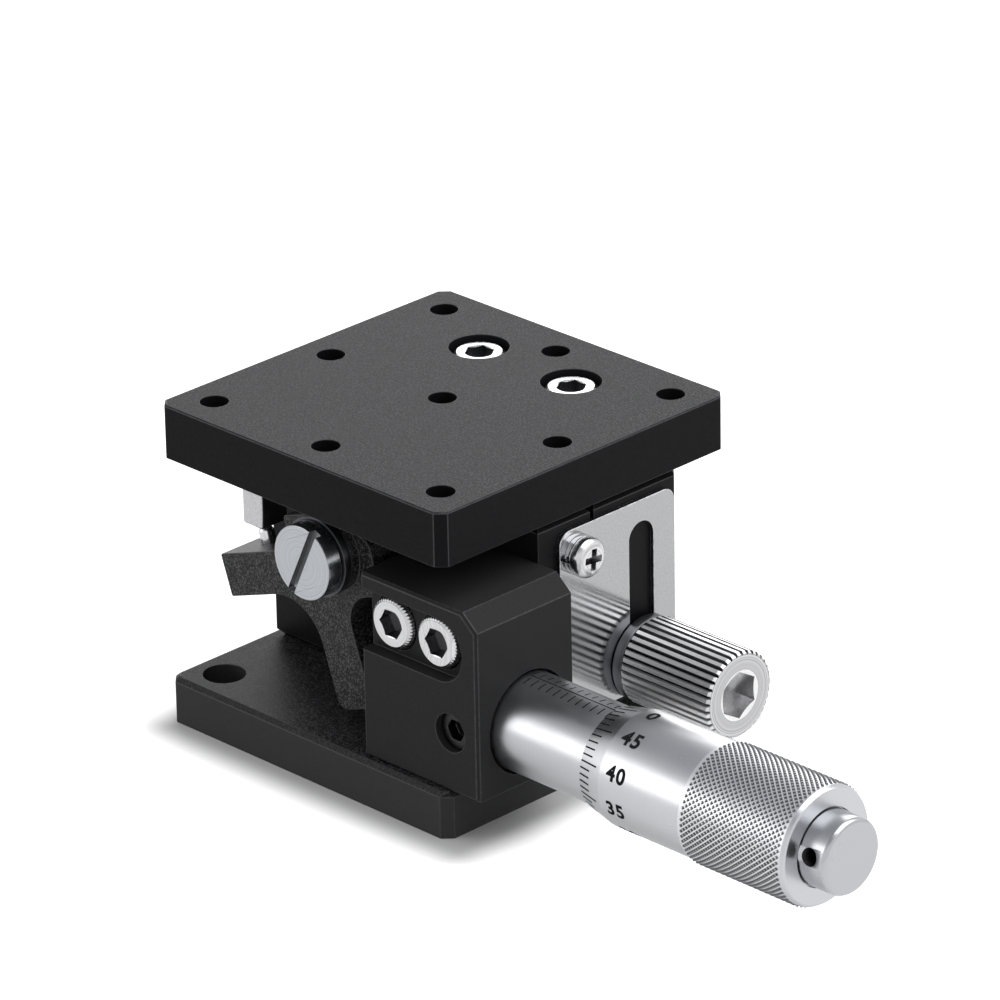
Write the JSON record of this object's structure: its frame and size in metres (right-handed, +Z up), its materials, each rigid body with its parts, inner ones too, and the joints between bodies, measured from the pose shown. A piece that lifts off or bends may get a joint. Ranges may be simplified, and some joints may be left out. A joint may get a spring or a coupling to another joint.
{
  "type": "vertical focusing stage",
  "caption": "Small vertical focusing stage: two square plates, a crossed-roller guide, a bell-crank lever pushed by a micrometer, and a knurled clamp screw",
  "frame": {"origin": "centre of the base plate's underside", "axes": "+Z up, +X along the micrometer axis towards its thimble, -Y the side of the lever"},
  "size_m": [0.086, 0.04, 0.035],
  "materials": {
    "anodised_plate": "dark grey anodised with a fine bead-blast grain",
    "anodised_guide": "black anodised, satin",
    "anodised_lever": "black anodised with a coarser blasted grain",
    "anodised_block": "smooth matte black anodised",
    "satin_chrome": "satin chrome with black engraved marks",
    "polished_steel": "near mirror",
    "hardened_steel": "ground and hardened",
    "screw_steel": "bright stainless",
    "grey_steel": "satin grey",
    "bright_nickel": "bright nickel plate",
    "blackened_steel": "blackened",
    "bronze": "plain bronze"
  },
  "bodies": {
    "base": {"base_plate": "anodised_plate", "base_screws": "screw_steel", "fixed_guide": "anodised_guide", "fixed_rail_right": "hardened_steel", "fixed_rail_left": "hardened_steel", "fixed_rail_screws": "screw_steel", "rail_end_stops": "screw_steel", "micrometer_block": "anodised_block", "block_screws": "screw_steel", "stem_set_screw": "blackened_steel", "micrometer_sleeve": "satin_chrome", "spindle_nut": "bronze", "pivot_screw": "screw_steel", "pivot_washer": "grey_steel", "pivot_spacer": "grey_steel", "clamp_plate": "polished_steel", "clamp_plate_screw": "screw_steel", "clamp_spring_washer": "screw_steel", "lower_spring_pin": "hardened_steel", "return_spring": "hardened_steel"},
    "stage": {"top_plate": "anodised_plate", "top_plate_screws": "screw_steel", "lift_block": "hardened_steel", "moving_guide": "anodised_guide", "moving_rail_right": "hardened_steel", "moving_rail_left": "hardened_steel", "moving_rail_screws": "screw_steel", "upper_spring_pin": "hardened_steel"},
    "lever": {"bell_crank": "anodised_lever", "pivot_bush": "bronze", "lift_contact_pin": "hardened_steel", "push_ball": "hardened_steel"},
    "spindle": {"micrometer_spindle": "hardened_steel"},
    "thimble": {"thimble": "satin_chrome", "thimble_cap": "satin_chrome"},
    "roller_cages": {"roller_cage_right": "bronze", "roller_cage_left": "bronze", "crossed_rollers_right": "hardened_steel", "crossed_rollers_left": "hardened_steel"},
    "lock_washer": {"lock_washer": "grey_steel"},
    "lock_screw": {"lock_screw": "bright_nickel"}
  },
  "joints": [
    {"name": "stage_lift", "type": "slide", "parent": "base", "child": "stage", "axis": [0, 0, 1], "range_m": [-0.0006, 0.0074], "deforming": ["return_spring"]},
    {"name": "lever_tilt", "type": "hinge", "parent": "base", "child": "lever", "pos_m": [0, -0.0131, 0.0236], "axis": [0, 1, 0], "range_deg": [-2.63, 32.37]},
    {"name": "spindle_feed", "type": "slide", "parent": "base", "child": "spindle", "axis": [-1, 0, 0], "range_m": [-0.00056, 0.00686]},
    {"name": "thimble_turn", "type": "hinge", "parent": "spindle", "child": "thimble", "pos_m": [0.05, -0.01195, 0.0114], "axis": [-1, 0, 0], "range_deg": [-401, 4942]},
    {"name": "cage_travel", "type": "slide", "parent": "base", "child": "roller_cages", "axis": [0, 0, 1], "range_m": [-0.0003, 0.0037]},
    {"name": "lock_feed", "type": "slide", "parent": "stage", "child": "lock_washer", "axis": [1, 0, 0], "range_m": [-0.000083, 0.0005]},
    {"name": "lock_turn", "type": "hinge", "parent": "lock_washer", "child": "lock_screw", "pos_m": [0.026, 0.00805, 0.01015], "axis": [1, 0, 0], "range_deg": [-60, 360.1]}
  ],
  "couplings": [
    {"joint": "lever_tilt", "follows": "stage_lift", "rad_per_m": 76.336},
    {"joint": "spindle_feed", "follows": "stage_lift", "ratio": 0.92748},
    {"joint": "thimble_turn", "follows": "stage_lift", "rad_per_m": 11655},
    {"joint": "cage_travel", "follows": "stage_lift", "ratio": 0.5},
    {"joint": "lock_turn", "follows": "lock_feed", "rad_per_m": 12566}
  ]
}
